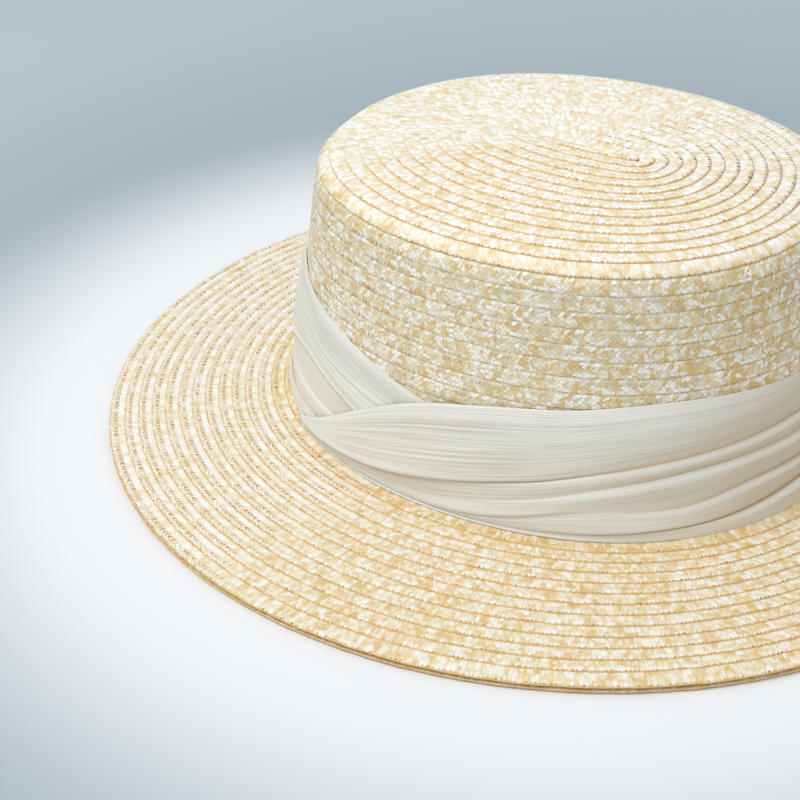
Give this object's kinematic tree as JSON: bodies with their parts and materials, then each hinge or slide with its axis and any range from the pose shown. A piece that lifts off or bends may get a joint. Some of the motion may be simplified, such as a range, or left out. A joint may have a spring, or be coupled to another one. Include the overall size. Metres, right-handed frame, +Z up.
{
  "type": "straw boater hat",
  "caption": "Flat-brimmed straw boater with an oval, gently domed crown and a pleated silk band that laps over itself at the side.",
  "frame": {"origin": "on the surface that the hat rests on, under the middle of the crown", "axes": "+Z up, front of the hat towards -Y, wearer's left towards +X"},
  "size_m": [0.314, 0.3198, 0.095],
  "materials": {
    "straw_crown": "sewn wheat straw plait, pale cream with glossy white and golden straws",
    "straw_brim": "sewn wheat straw plait, warmer and more golden than the crown",
    "straw_edge": "straw plait seen edge on, tan",
    "silk": "raw silk with fine lengthwise slubs, silvery cream with a soft sheen"
  },
  "bodies": {
    "root": {"crown": "straw_crown", "brim": "straw_brim", "brim_edge_row": "straw_edge", "band": "silk"}
  },
  "joints": []
}
